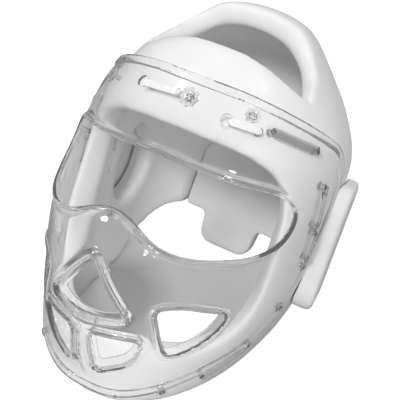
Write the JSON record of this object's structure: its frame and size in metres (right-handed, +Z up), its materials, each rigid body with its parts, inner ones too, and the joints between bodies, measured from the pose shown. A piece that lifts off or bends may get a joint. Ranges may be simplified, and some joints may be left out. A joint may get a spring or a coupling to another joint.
{
  "type": "karate headgear with face mask",
  "caption": "Hollow dipped-foam head guard with an open crown, ear blocks and a rear pad, under a clear bulged face mask with eye, mouth and cheek openings held at its edge by studs and ties.",
  "frame": {"origin": "on the floor, under the middle of the box, with the guard standing on its jaw's flat rim", "axes": "+X to the wearer's left, -Y to the front, +Z up as it stands; worn upright it turns 16.8 degrees forward about X"},
  "size_m": [0.223, 0.3036, 0.2453],
  "materials": {
    "dipped_foam": "satin vinyl dip over soft foam",
    "clear_shell": "clear gloss polycarbonate",
    "clear_fastening": "clear gloss",
    "white_lace": "flat white strip"
  },
  "bodies": {
    "root": {"head_shell": "dipped_foam", "rear_pad": "dipped_foam", "ear_guard_left": "dipped_foam", "ear_guard_right": "dipped_foam", "face_mask": "clear_shell", "stud_centre": "clear_fastening", "stud_brow_left": "clear_fastening", "stud_brow_right": "clear_fastening", "stud_side_left": "clear_fastening", "stud_side_right": "clear_fastening", "stud_cheek_left": "clear_fastening", "stud_cheek_right": "clear_fastening", "stud_chin_left": "clear_fastening", "stud_chin_right": "clear_fastening", "tie_brow_left": "clear_fastening", "tie_temple_left": "clear_fastening", "tie_temple_right": "clear_fastening", "tie_side_left": "clear_fastening", "tie_side_right": "clear_fastening", "tie_jaw_left": "clear_fastening", "tie_jaw_right": "clear_fastening", "lace_brow_left": "white_lace", "lace_brow_right": "white_lace"}
  },
  "joints": []
}
